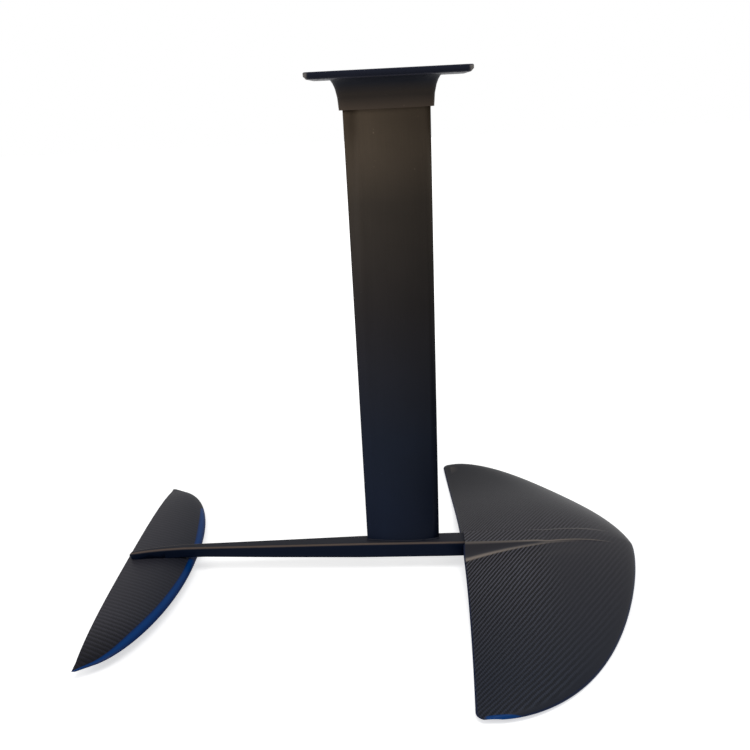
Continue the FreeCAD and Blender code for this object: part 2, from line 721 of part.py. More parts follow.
def makeFuselage():
    """Bar that carries mast and wings, with a tongue in front and a saddle behind."""
    top, bottom = size("fuselageTop"), size("fuselageTop") - size("fuselageHeight")
    roundStart = size("tailEnd") + size("tailRound")
    # side view, from the front: X, then how far the top falls and the bottom rises
    profile = [(size("fuselageFront"), 0, 0), (size("taperStart"), 0, 0), (-70, 0, 0),
               (-200, 1.6, 2.2), (-310, 2.7, 4.7), (-345, 3.2, 4.2), (-375, 5, 1),
               (-402, 7.6, 0), (roundStart, 10.4, 0)]
    sections = [roundedSection(x, fuselageHalf(x), top - fall, bottom + rise)
                for x, fall, rise in profile]
    # the tail closes in a round end
    lastTop = top - profile[-1][1]
    middle = (lastTop + bottom) / 2
    for turn in (42, 74):
        angle = math.radians(turn)
        x = roundStart - size("tailRound") * math.sin(angle)
        shrink = math.cos(angle)
        sections.append(roundedSection(x, fuselageHalf(x) * shrink,
                                       middle + (lastTop - middle) * shrink,
                                       middle - (middle - bottom) * shrink))
    bar = feature("fuselage_bar", Part.makeLoft(sections, True, True))

    half = size("tongueWidth") / 2
    tongue = block("fuselage_tongue", (size("fuselageFront") - 5, -half, tongueBottom),
                   (tongueEnd, half, tongueTop))
    # the saddle takes the pad's section, cut straight across the tail
    crown = stabiliser.row(0, stabiliser.steps, 1)
    below = crown[0].z - 30
    corners = crown + [Vector(crown[-1].x - 8, 0, crown[-1].z), Vector(crown[-1].x - 8, 0, below),
                       Vector(crown[0].x, 0, below)]
    outline = Part.Face(Part.makePolygon(corners + corners[:1]))
    outline.translate(Vector(0, -stabPad, 0))
    saddle = feature("tail_saddle", outline.extrude(Vector(0, 2 * stabPad, 0)))

    holes = clearanceHoles("fuselage_screw_hole", "large", [at(x, 0, bottom) for x in portPlaces],
                           "sizes.fuselageHeight + 1")
    seats = [hexagon(f"nose_seat_{k}", at(x, 0, tongueBottom - 1), "sizes.smallInsert",
                     "sizes.smallInsertHeight + 1") for k, x in enumerate(wingScrewPlaces)]
    seats += [hexagon(f"tail_seat_{k}", at(x, 0, insertSeat(x) - 3), "sizes.smallInsert",
                      "sizes.smallInsertHeight + 3") for k, x in enumerate(stabScrewPlaces)]
    return cut("fuselage", fuse("fuselage_blank", [bar, tongue]),
               [saddle, headPocket("fuselage_pocket", bottom, 1)] + holes + seats)


# ---------------------------------------------------------------- the assembly
plateScrews = [at(x, 0, -size("headRecess")) for x in portPlaces]
fuselageBottom = size("fuselageTop") - size("fuselageHeight")
footScrews = [turned(x, 0, fuselageBottom + size("headRecess")) for x in portPlaces]

nodes = [
    makePlate(),
    makeMast(),
    makeHeadPlugs(),
    makeFoot(),
    group("mast_thread_inserts", threadInsert("mast_insert", "large", "sizes.portRadius"),
          insertPlaces),
    group("mast_plate_screws", capScrew("plate_screw_model", "large", "plateScrewLength"),
          plateScrews),
    group("mast_foot_screws", capScrew("foot_screw_model", "large", "footScrewLength"),
          footScrews),
    makeFuselage(),
]
nodes += wingPieces()
nodes += stabPieces()
doc.recompute()

for obj in doc.Objects:
    if {"Invalid", "Error"} & set(obj.State):
        raise RuntimeError(f"{obj.Name} failed to rebuild: {obj.State}")
for node in nodes:
    if node.Shape.isNull() or not node.Shape.isValid() or not node.Shape.Solids:
        raise RuntimeError(f"{node.Label} has no valid solid")

os.makedirs("parts", exist_ok=True)
for node in nodes:
    node.Shape.exportStep(f"parts/{node.Label}.step")
    print(f"{node.Label}: {len(node.Shape.Solids)} solids, {node.Shape.Volume / 1000:.1f} cm3")
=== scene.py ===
import math

import bmesh
import bpy
from mathutils import Matrix, Vector


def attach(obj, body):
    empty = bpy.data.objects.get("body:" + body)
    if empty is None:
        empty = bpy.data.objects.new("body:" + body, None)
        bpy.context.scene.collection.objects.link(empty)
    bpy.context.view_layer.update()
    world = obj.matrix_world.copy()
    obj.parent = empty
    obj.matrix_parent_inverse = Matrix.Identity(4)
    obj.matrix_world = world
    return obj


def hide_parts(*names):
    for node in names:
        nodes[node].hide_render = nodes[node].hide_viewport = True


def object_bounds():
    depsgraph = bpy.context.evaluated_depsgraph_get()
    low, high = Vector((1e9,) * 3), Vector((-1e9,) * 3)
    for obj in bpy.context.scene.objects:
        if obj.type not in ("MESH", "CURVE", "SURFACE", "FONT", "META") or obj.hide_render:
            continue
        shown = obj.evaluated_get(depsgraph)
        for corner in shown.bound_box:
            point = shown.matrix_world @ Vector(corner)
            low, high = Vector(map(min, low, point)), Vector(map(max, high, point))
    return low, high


# hydrofoil set for a board: plate, mast, fuselage, front wing and stabiliser
# everything is in metres, +X forwards to the front wing, +Y away from the viewer, +Z up

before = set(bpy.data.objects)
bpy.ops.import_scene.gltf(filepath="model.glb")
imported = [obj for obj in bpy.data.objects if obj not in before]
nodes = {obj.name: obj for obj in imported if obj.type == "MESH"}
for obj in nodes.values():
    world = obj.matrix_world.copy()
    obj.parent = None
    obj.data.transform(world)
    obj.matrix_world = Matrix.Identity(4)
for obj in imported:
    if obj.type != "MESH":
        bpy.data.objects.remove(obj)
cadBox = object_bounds()
print("frame loaded:", len(nodes), "nodes")


# a socket of a node tree that takes part in Python expressions
class Value:
    def __init__(self, tree, socket):
        self.tree, self.socket = tree, socket

    def math(self, operation, *others, clamp=False):
        node = self.tree.nodes.new("ShaderNodeMath")
        node.operation = operation
        node.use_clamp = clamp
        for slot, value in zip(node.inputs, (self,) + others):
            connect(self.tree, slot, value)
        return Value(self.tree, node.outputs[0])

    def __add__(self, other): return self.math("ADD", other)
    def __radd__(self, other): return self.math("ADD", other)
    def __sub__(self, other): return self.math("SUBTRACT", other)
    def __rsub__(self, other): return (self * -1) + other
    def __mul__(self, other): return self.math("MULTIPLY", other)
    def __rmul__(self, other): return self.math("MULTIPLY", other)
    def __truediv__(self, other): return self.math("DIVIDE", other)
    def __rtruediv__(self, other): return (self ** -1) * other
    def __pow__(self, other): return self.math("POWER", other)
    def __abs__(self): return self.math("ABSOLUTE")

    def above(self, limit): return self.math("GREATER_THAN", limit)      # 1 where it is
    def atLeast(self, limit): return self.math("MAXIMUM", limit)
    def atMost(self, limit): return self.math("MINIMUM", limit)
    def root(self): return self.math("SQRT")
    def sine(self): return self.math("SINE")
    def part(self): return self.math("FRACT")
    def held(self): return self.math("ADD", 0.0, clamp=True)             # kept in 0 to 1

    # 0 at one level and 1 at another, straight between them
    def ramp(self, low, high):
        return ((self - low) * (1 / (high - low))).held()


def connect(tree, slot, value):
    if isinstance(value, Value):
        tree.links.new(value.socket, slot)
    else:
        slot.default_value = value


# a node tree that is filled by one method: settings first, then its sockets' values or links
class Graph:
    def node(self, kind, settings=None, **sockets):
        made = self.tree.nodes.new(kind)
        for label, value in (settings or {}).items():
            setattr(made, label, value)
        for label, value in sockets.items():
            connect(self.tree, made.inputs[label.replace("_", " ")], value)
        return {out.name: Value(self.tree, out) for out in made.outputs if out.enabled}


# wings: the rules of their outline and height, used for the meshes and for the finishes

frontWing = {
    "halfSpan": 0.3169, "ruleSpan": 0.3175, "nose": 0.3454, "tipNose": 0.0925,
    "tail": 0.087, "tailSweep": 0.0122, "tipCorner": 0.014,
    "noseHeight": -0.691, "droop": 0.0225, "droopShare": 0.78,
    "chord": 0.2584, "tailDrop": -0.0014, "thickness": 0.105, "camber": 0.037,
    "tailEdge": 0.0012, "seam": 0.0, "noseShare": 0.0, "tipRound": 0.003,
    "spineHalf": 0.0145, "spineTop": -0.6676, "spineProud": 0.0015,
    "spineStart": 0.225, "spineEnd": 0.308, "levelEnd": 0.02, "levelSlope": 0.6,
    "crestRound": 0.002, "footRound": 0.0022, "footShift": 0.0004,
    "filletFoot": 0.0045, "filletSpread": 0.58,
    "notchFront": 0.0893, "notchHalf": 0.01512,
}
stabiliser = {
    "halfSpan": 0.2362, "ruleSpan": 0.2305, "pad": 0.009, "nose": -0.3303, "tip": -0.4307,
    "tipStart": 0.222, "tipSlope": 1.75,
    "tail": -0.4374, "tailSweep": 0.0055, "noseHeight": -0.698, "tipDrop": 0.0035,
    "chord": 0.1071, "tailDrop": 0.0052, "thickness": 0.115, "camber": 0.012,
    "tailEdge": 0.0011, "seam": 0.1214, "noseShare": 0.3, "tipRound": 0.002,
}
meshing = {
    "around": 132, "along": 360, "noseCrowding": 2.2, "rowSpacing": (0.4, 2.2, 1.6),
    "sharpAngle": 32, "camberCrest": 0.42, "floorGap": 0.00002, "mergeWithin": 0.000002,
    "weldWithin": 0.000001, "shortestEdge": 0.0000005,
}
sectionCurve = (0.2969, 0.126, 0.3516, 0.2843, 0.1036)      # the usual four-figure section


# lead, tail and nose height at a distance from the centre, for the front wing
def frontRule(size, y):
    share = abs(y) / size["ruleSpan"]
    bow = ((share ** 1.4) * -1 + 1).atLeast(0).root()
    lead = size["tipNose"] + bow * (size["nose"] - size["tipNose"])
    into = (abs(y) - size["ruleSpan"] + size["tipCorner"]).atLeast(0)
    corner = (size["tipCorner"] ** 2 - into ** 2).atLeast(0).root() * -1 + size["tipCorner"]
    trail = share ** 2 * size["tailSweep"] * -1 + size["tail"] + corner
    bend = (share * (math.pi / 2) / size["droopShare"]).sine()
    return lead, trail, bend ** 2 * size["droop"] * -1 + size["noseHeight"]


# the same for the stabiliser, which is flat in the middle where it carries the tail
def stabRule(size, y):
    inner = abs(y).atMost(size["tipStart"])
    share = (inner - size["pad"]).atLeast(0) / (size["ruleSpan"] - size["pad"])
    lead = (share ** 2 * -1 + 1).root() * (size["nose"] - size["tip"]) + size["tip"]
    lead = lead - (abs(y) - inner) * size["tipSlope"]
    trail = share ** 3 * size["tailSweep"] + size["tail"]
    return lead, trail, share ** 6 * size["tipDrop"] * -1 + size["noseHeight"]


# height of a wing's section over its nose, as a share of the chord, side 1 up to -1 down
def sectionHeight(size, fraction, side):
    crest = meshing["camberCrest"]
    ahead = (fraction * (2 * crest) - fraction ** 2) * (1 / crest ** 2)
    behind = (fraction * (2 * crest) - fraction ** 2 + (1 - 2 * crest)) * (1 / (1 - crest) ** 2)
    back = fraction.above(crest)
    bow = ahead * (1 - back) + behind * back
    root, first, second, third, fourth = sectionCurve
    shape = (fraction.root() * root - fraction * first - fraction ** 2 * second
             + fraction ** 3 * third - fraction ** 4 * fourth) * 5
    half = shape * size["thickness"] + fraction * (size["tailEdge"] / size["chord"] * 0.5)
    return fraction * (size["tailDrop"] / size["chord"]) + bow * size["camber"] + side * half


# a Geometry Nodes tree with named inputs, run once on an empty mesh and kept as a plain one
class Form(Graph):
    def __init__(self, name, sizes):
        self.name, self.sizes = name, sizes
        self.tree = bpy.data.node_groups.new(name + "Form", "GeometryNodeTree")
        face = self.tree.interface
        face.new_socket(name="Geometry", in_out="OUTPUT", socket_type="NodeSocketGeometry")
        self.keys = {}
        for label in sizes:
            made = face.new_socket(name=label, in_out="INPUT", socket_type="NodeSocketFloat")
            self.keys[label] = made.identifier
        made = face.new_socket(name="finish", in_out="INPUT", socket_type="NodeSocketMaterial")
        self.keys["finish"] = made.identifier
        inlet = self.tree.nodes.new("NodeGroupInput")
        self.size = {label: Value(self.tree, inlet.outputs[label]) for label in sizes}
        self.finish = Value(self.tree, inlet.outputs["finish"])

    def mesh(self, shape, material):
        real = self.node("GeometryNodeRealizeInstances", Geometry=shape)["Geometry"]
        done = self.node("GeometryNodeSetMaterial", Geometry=real, Material=self.finish)["Geometry"]
        outlet = self.tree.nodes.new("NodeGroupOutput")
        self.tree.links.new(done.socket, outlet.inputs[0])
        blank = bpy.data.objects.new(self.name, bpy.data.meshes.new(self.name + "Blank"))
        bpy.context.scene.collection.objects.link(blank)
        modifier = blank.modifiers.new("form", "NODES")
        modifier.node_group = self.tree
        for label, value in self.sizes.items():
            modifier[self.keys[label]] = value
        modifier[self.keys["finish"]] = material
        ready = blank.evaluated_get(bpy.context.evaluated_depsgraph_get())
        plain = bpy.data.meshes.new_from_object(ready)
        blank.modifiers.clear()
        blank.data = plain
        plain.name = self.name
        return blank


# the closed half shell of a wing: one side from seam to tail, and back along the middle surface
def wingShell(name, sizes, rule, lower, material):
    form = Form(name, sizes)
    size = form.size
    around, along = meshing["around"], meshing["along"]
    grid = form.node("GeometryNodeMeshGrid", Size_X=1.0, Size_Y=2.0, Vertices_X=around + 1,
                     Vertices_Y=along + 1)["Mesh"]
    spot = form.node("GeometryNodeInputPosition")["Position"]
    spot = form.node("ShaderNodeSeparateXYZ", Vector=spot)
    turn, reach = spot["X"] + 0.5, spot["Y"]

    # rows lie closer at the tips and a little closer in the middle
    far = abs(reach)
    even, rise, fall = meshing["rowSpacing"]
    spread = far * rise - far ** 2 * fall + even
    y = far * spread * size["halfSpan"] * reach.math("SIGN")
    lead, trail, height = rule(size, y)

    # forth from the seam to the tail over the outer face, and back along the inner one
    step = 1 / around
    course = (1 - abs(turn * 2 - 1)) * (around / (around - 2))
    forth = course.atMost(1)
    back = turn.above(0.5 + 0.2 * step) * (1 - turn.above(1 - 0.5 * step))
    plain = size["seam"] + (1 - size["seam"]) * forth ** meshing["noseCrowding"]
    if lower:
        nose = 1 - forth.above(size["noseShare"] - 0.0001)
        over = size["seam"] * (1 - forth / size["noseShare"].atLeast(0.001)).atLeast(0) ** 2
        under = ((forth - size["noseShare"]) / (1 - size["noseShare"])).held()
        first = nose * over + (1 - nose) * under ** meshing["noseCrowding"]
        fraction = first * (1 - back) + plain * back
        side = (nose * 2 - 1) * (1 - back)
    else:
        fraction = plain
        side = 1 - back
    # the tips close in a small round
    end = ((size["halfSpan"] - abs(y)) / size["tipRound"]).held()
    closing = (end * (2 - end)).root()
    chord = lead - trail
    x = lead - chord * fraction
    z = height + chord * sectionHeight(size, fraction, side * closing)
    z = z.atLeast(cadBox[0].z + meshing["floorGap"])
    if "spineHalf" in sizes:
        x, z = withSpine(size, x, y, z, side, lower)
    place = form.node("ShaderNodeCombineXYZ", X=x, Y=y, Z=z)["Vector"]
    shape = form.node("GeometryNodeSetPosition", Geometry=grid, Position=place)["Geometry"]
    shape = form.node("GeometryNodeMergeByDistance", Geometry=shape,
                      Distance=meshing["mergeWithin"])["Geometry"]
    return form.mesh(shape, material)


# the moulded spine on the upper side, and the notch that takes the fuselage's end
def withSpine(size, x, y, z, side, lower):
    inNotch = 1 - abs(y).above(size["notchHalf"])
    x = x.atLeast(size["notchFront"] * inNotch)
    if lower:
        return x, z
    fraction = ((size["nose"] - x) / (size["nose"] - size["tail"])).held()
    plain = size["noseHeight"] + size["chord"] * sectionHeight(size, fraction, 1)
    fade = ((x - size["spineStart"]) / (size["spineEnd"] - size["spineStart"])).held()
    crest = plain + size["spineProud"] * (1 - fade ** 2)
    past = (x - size["spineStart"] + size["levelEnd"]).atLeast(0)
    level = size["spineTop"] - past * size["levelSlope"]
    crest = crest.math("SMOOTH_MAX", level, size["crestRound"])
    rise = (crest - z).atLeast(0) * (1 - fade ** 3)
    reach = rise * size["filletSpread"] + size["filletFoot"]
    away = (abs(y) - size["spineHalf"]).math("SMOOTH_MAX", 0.0, size["footRound"])
    away = (away - size["footShift"]).atLeast(0) / reach
    lift = rise * (1 - away).atLeast(0) ** 3
    return x, z + lift * side.above(0.5)


# faces outwards, smooth but for the edges sharper than an angle
def tidyMesh(piece, angle):
    work = bmesh.new()
    work.from_mesh(piece.data)
    bmesh.ops.remove_doubles(work, verts=work.verts, dist=meshing["weldWithin"])
    bmesh.ops.dissolve_degenerate(work, edges=work.edges, dist=meshing["shortestEdge"])
    bmesh.ops.recalc_face_normals(work, faces=work.faces)
    work.to_mesh(piece.data)
    work.free()
    piece.data.polygons.foreach_set("use_smooth", [True] * len(piece.data.polygons))
    piece.data.set_sharp_from_angle(angle=math.radians(angle))


def prism(name, x, y, radius, low, high, corners):
    ring = [(x + radius * math.cos(2 * math.pi * k / corners),
             y + radius * math.sin(2 * math.pi * k / corners)) for k in range(corners)]
    points = [(px, py, z) for z in (low, high) for px, py in ring]
    faces = [tuple(reversed(range(corners))), tuple(range(corners, 2 * corners))]
    for k in range(corners):
        after = (k + 1) % corners
        faces.append((k, after, corners + after, corners + k))
    mesh = bpy.data.meshes.new(name)
    mesh.from_pydata(points, [], faces)
    made = bpy.data.objects.new(name, mesh)
    bpy.context.scene.collection.objects.link(made)
    return made


bushBores = {
    "radius": 0.00662, "corners": 6, "frontWing": (0.1153, 0.1833), "stabiliser": (-0.360, -0.394),
    "bottom": -0.75, "frontWingTop": -0.685, "stabiliserTop": -0.6,
}


# six-sided bores for the bushes, which are proper nodes of the frame
def bore(piece, wing):
    for x in bushBores[wing]:
        cutter = prism("boreCutter", x, 0, bushBores["radius"], bushBores["bottom"],
                       bushBores[wing + "Top"], bushBores["corners"])
        modifier = piece.modifiers.new("bore", "BOOLEAN")
        modifier.operation, modifier.solver, modifier.object = "DIFFERENCE", "EXACT", cutter
        ready = piece.evaluated_get(bpy.context.evaluated_depsgraph_get())
        plain = bpy.data.meshes.new_from_object(ready)
        piece.modifiers.clear()
        piece.data = plain
        bpy.data.objects.remove(cutter)


# a piece of the rigid body that takes the place of one node, which is hidden
def stand(piece, node):
    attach(piece, "root")
    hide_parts(node)


# a merged, smoothly shaded copy of a rigid node, with its own finish
def smoothed(node, name, material, angle):
    piece = bpy.data.objects.new(name, nodes[node].data.copy())
    bpy.context.scene.collection.objects.link(piece)
    tidyMesh(piece, angle)
    piece.data.materials.clear()
    piece.data.materials.append(material)
    stand(piece, node)
    return piece


# a colour written as display values from 0 to 255
def tint(red, green, blue):
    def linear(level):
        level /= 255
        return level / 12.92 if level <= 0.04045 else ((level + 0.055) / 1.055) ** 2.4
    return (linear(red), linear(green), linear(blue), 1)


# a material with a Principled shader; constants are set on the shader's own sockets
class Finish(Graph):
    def __init__(self, name, **constants):
        self.material = bpy.data.materials.new(name)
        self.material.use_nodes = True
        self.tree = self.material.node_tree
        self.tree.nodes.clear()
        self.shader = self.tree.nodes.new("ShaderNodeBsdfPrincipled")
        output = self.tree.nodes.new("ShaderNodeOutputMaterial")
        self.tree.links.new(self.shader.outputs[0], output.inputs[0])
        for label, value in constants.items():
            self.shader.inputs[label.replace("_", " ")].default_value = value
        self.place = self.node("ShaderNodeTexCoord")["Object"]
        split = self.node("ShaderNodeSeparateXYZ", Vector=self.place)
        self.x, self.y, self.z = split["X"], split["Y"], split["Z"]
        facing = self.node("ShaderNodeNewGeometry")["Normal"]
        self.facing = self.node("ShaderNodeSeparateXYZ", Vector=facing)

    def noise(self, scale, detail=3.0, roughness=0.55, stretch=(1, 1, 1)):
        place = self.node("ShaderNodeMapping", Vector=self.place, Scale=stretch)["Vector"]
        found = self.node("ShaderNodeTexNoise", Vector=place, Scale=scale, Detail=detail,
                          Roughness=roughness)
        return found.get("Factor") or found["Fac"]

    def blend(self, amount, first, second):
        made = self.tree.nodes.new("ShaderNodeMix")
        made.data_type = "RGBA"
        connect(self.tree, made.inputs["Factor"], amount)
        for slot, value in zip([i for i in made.inputs if i.type == "RGBA"], (first, second)):
            connect(self.tree, slot, value)
        result = [o for o in made.outputs if o.type == "RGBA"][0]
        return Value(self.tree, result)

    # a colour made lighter or darker by a number around 1
    def scaled(self, colour, amount):
        made = self.tree.nodes.new("ShaderNodeVectorMath")
        made.operation = "SCALE"
        connect(self.tree, made.inputs[0], colour if isinstance(colour, Value) else colour[:3])
        connect(self.tree, made.inputs["Scale"], amount)
        return Value(self.tree, made.outputs[0])

    def set(self, label, value):
        connect(self.tree, self.shader.inputs[label], value)

    def bump(self, height, distance):
        made = self.node("ShaderNodeBump", Height=height, Distance=distance)
        self.set("Normal", made["Normal"])
        return self.material


anodising = {
    "cloudScale": 14, "cloudDepth": 0.16, "grainScale": 1500, "grainDepth": 0.10,
    "brushScale": 900, "brushDepth": 0.10, "brushStretch": 0.02,
    "speckScale": 260, "speckShare": 0.80, "speckEdge": 0.02, "speckDepth": 0.8,
    "roughness": 0.46, "roughnessSpread": 0.16, "speckShine": 0.1, "bumpHeight": 0.000012,
}


# black anodised aluminium: fine beads or brush lines along an axis, soft clouds, rare specks
def anodised(name, colour, specular, brushed=None):
    made = Finish(name, IOR=1.45, Specular_IOR_Level=specular)
    rule = anodising
    cloud = made.noise(rule["cloudScale"], 3)
    grain = made.noise(rule["grainScale"], 2)
    fine = grain * rule["grainDepth"]
    if brushed is not None:
        stretch = tuple(rule["brushStretch"] if axis == brushed else 1 for axis in range(3))
        lines = made.noise(rule["brushScale"], 3, 0.6, stretch)
        fine = fine + (lines - 0.5) * rule["brushDepth"] * 2
        grain = grain * 0.5 + lines * 0.5
    specks = made.noise(rule["speckScale"], 1.0, 0.4)
    specks = specks.ramp(rule["speckShare"], rule["speckShare"] + rule["speckEdge"])
    level = (cloud - 0.5) * (2 * rule["cloudDepth"]) + fine + specks * rule["speckDepth"]
    level = level + (1 - rule["grainDepth"] / 2)
    made.set("Base Color", made.scaled(colour(made), level))
    shine = specks * -rule["speckShine"]
    made.set("Roughness", (cloud - 0.5) * rule["roughnessSpread"] + shine + rule["roughness"])
    return made.bump(grain, rule["bumpHeight"])


mastLook = {
    "top": tint(90, 78, 65), "upper": tint(56, 50, 44), "middle": tint(39, 36, 36),
    "lower": tint(25, 31, 44), "bottom": tint(17, 25, 42),
    "heights": (-0.64, -0.50, -0.30, -0.16, -0.05), "frontAt": (-0.03, 0.035), "frontShade": 0.36,
}


# painted reflection: the mast is painted warm and light at its head and bluish dark towards the
# fuselage, and its front is painted darker as painted shade
def mastPaintedLight(made):
    look = mastLook
    marks = look["heights"]
    shades = (look["bottom"], look["lower"], look["middle"], look["upper"], look["top"])
    # painted reflection, warm and light at the head and bluish dark at the foot
    colour = shades[0]
    for low, high, shade in zip(marks, marks[1:], shades[1:]):
        colour = made.blend(made.z.ramp(low, high), colour, shade)
    # painted shade on the front of the blade
    front = made.x.ramp(*look["frontAt"])
    return made.scaled(colour, 1 - front * look["frontShade"])


plateLook = {
    "side": tint(28, 31, 43), "collarTop": tint(34, 36, 43), "collar": tint(55, 49, 45),
    "collarFoot": tint(82, 71, 62), "endFacetHighlight": tint(128, 123, 119), "lowerRimHighlight": tint(62, 62, 72),
    "collarAt": (-0.014, -0.026), "footAt": (-0.03, -0.044), "sideAt": (-0.0085, -0.0075),
    "rimFrom": (-0.0085, -0.0079), "rimTo": (-0.0077, -0.0069), "rimShare": 0.7,
    "facetTurn": (0.35, 0.6), "facetTo": (-0.0014, -0.0007), "facetHighlightShare": 0.8,
}


# dark on its edge; the flare is painted lighter and warmer towards its foot as painted shade and
# light, and the end facets and the lower rim carry painted highlights
def plateColourAndPaintedLight(made):
    look, z = plateLook, made.z
    # painted shade and light down the flare
    colour = made.blend(z.ramp(*look["collarAt"]), look["collarTop"], look["collar"])
    colour = made.blend(z.ramp(*look["footAt"]), colour, look["collarFoot"])
    onSide = z.ramp(*look["sideAt"])
    colour = made.blend(onSide, colour, look["side"])
    # painted highlight along the lower rim
    rim = z.ramp(*look["rimFrom"]) * (1 - z.ramp(*look["rimTo"]))
    colour = made.blend(rim * look["rimShare"], colour, look["lowerRimHighlight"])
    # painted highlight on the end facets
    facetHighlight = abs(made.facing["X"]).ramp(*look["facetTurn"]) * onSide * (1 - z.ramp(*look["facetTo"]))
    return made.blend(facetHighlight * look["facetHighlightShare"], colour, look["endFacetHighlight"])


fuselageLook = {
    "top": tint(40, 41, 47), "side": tint(12, 20, 36), "ridgeHighlight": tint(92, 80, 73),
    "topTurn": (0.15, 0.8), "ridgeFrom": (0.15, 0.40), "ridgeTo": (0.75, 0.92),
    "ridgeUp": (0.3, 0.6), "ridgeHighlightShare": 0.8,
}


# the bar's flanks are painted darker and bluer than its top as painted shade, and the rounded edge
# between them carries a painted highlight
def fuselagePaintedLight(made):
    look = fuselageLook
    up = made.facing["Z"]
    # painted shade: the flanks darker than the top
    colour = made.blend(up.ramp(*look["topTurn"]), look["side"], look["top"])
    aside = abs(made.facing["Y"])
    # painted highlight along the rounded edge
    edgeHighlight = aside.ramp(*look["ridgeFrom"]) * (1 - aside.ramp(*look["ridgeTo"]))
    edgeHighlight = edgeHighlight * up.ramp(*look["ridgeUp"])
    return made.blend(edgeHighlight * look["ridgeHighlightShare"], colour, look["ridgeHighlight"])


footLook = {"side": tint(20, 24, 36), "top": tint(34, 36, 44), "topTurn": (0.1, 0.8)}


# painted shade: the foot's flanks are painted darker than its top
def footPaintedShade(made):
    up = made.facing["Z"].ramp(*footLook["topTurn"])
    return made.blend(up, footLook["side"], footLook["top"])


# carbon cloth: a 2 by 2 twill seen through a satin coat

weaveShape = {"overShare": 0.4, "hollow": 0.7, "swing": 0.6, "base": 0.4}


# height across a tow: highest in its middle
def crown(width):
    return 1 - width ** 2 * weaveShape["hollow"]


# tows cross at right angles; the phases count twill lines across and along them
def twill(across, along):
    warp, weft = (across + along) * 2, (across - along) * 2
    column, row = warp.math("FLOOR"), weft.math("FLOOR")
    turn = ((column + row) * 0.25).part()                # 0, a quarter, a half, three quarters
    warpOver = 1 - turn.above(weaveShape["overShare"])
    warpWidth, weftWidth = abs(warp.part() - 0.5) * 2, abs(weft.part() - 0.5) * 2
    # a float bulges in its middle and dips where it goes under
    warpRise = (((weft + column) * 0.25).part() * 2).atMost(1) * math.pi
    weftRise = ((((warp + row) * 0.25).part() - 0.5).atLeast(0) * 2).atMost(1) * math.pi
    swing, base = weaveShape["swing"], weaveShape["base"]
    warpHeight = crown(warpWidth) * (warpRise.sine() * swing + base)
    weftHeight = crown(weftWidth) * (weftRise.sine() * swing + base)
    height = warpOver * warpHeight + (1 - warpOver) * weftHeight
    return warpOver, height


# slow and quick wander of the cloth's lines, in twill lines
def swayOf(made, slow, quick):
    return (made.noise(slow[0], 2) - 0.5) * slow[1] + (made.noise(quick[0], 2) - 0.5) * quick[1]


carbonLook = {
    "weaveDepth": 0.78, "weaveMiddle": 0.72, "bumpHeight": 0.00014, "glintScale": 700,
    "glintBump": 0.12, "blue": tint(0, 53, 110), "blueDeep": tint(0, 31, 76),
}
wingCloth = {
    "specular": 0.09, "roughness": 0.40, "roughnessOver": 0.10, "roughnessGlint": 0.12,
    # the cloth's tone, painted darker towards the near tip and the far tip as painted shade
    "base": tint(50, 49, 53), "near": tint(33, 36, 44), "far": tint(37, 37, 41),
    "nearAt": (0.02, -0.26), "farAt": (0.02, 0.22),
    # twill lines across: by x, y, x squared, x times y, y squared
    "acrossBy": (165.7, 137.5, 49.3, 121.3, 5.7), "alongBy": (110, 141),
    "slowSway": (26, 0.4), "quickSway": (130, 0.32), "alongSway": (90, 0.3),
    # how strongly the lines show as painted sheen, on the near half and on the far one
    "halfAt": (0.03, -0.02), "nearNose": (0.225, 0.17), "nearTip": (-0.24, -0.08),
    "nearGain": (1.7, 0.6), "nearLevel": (1.45, 0.5), "farTip": (0.20, 0.05),
    "farGain": (2.4, 0.35), "farNose": (0.02, 0.10), "flatTurn": (0.86, 0.97),
    "glintDepth": 0.22, "darkest": -0.85, "bumpRest": 0.15,
    "rim": tint(14, 26, 54), "rimAt": (0.0010, 0.0028), "rimShare": 0.9,
    "tipAt": (0.3125, 0.3138), "tipFrom": (0.085, 0.089),
    # painted highlight beside the spine and along its shoulders
    "filletHighlight": tint(138, 128, 119), "hollowFrom": (0.07, 0.22), "hollowTo": (0.42, 0.68),
    "hollowNose": (0.27, 0.11), "hollowSide": (-0.05, -0.035), "hollowShare": 0.8,
    "spineTail": (0.0885, 0.0895), "ridgeSide": 0.0148, "ridgeWidth": (0.0004, 0.0013),
    "ridgeNose": (0.315, 0.28), "ridgeLimit": -0.0165, "ridgeHighlightShare": 0.38,
}


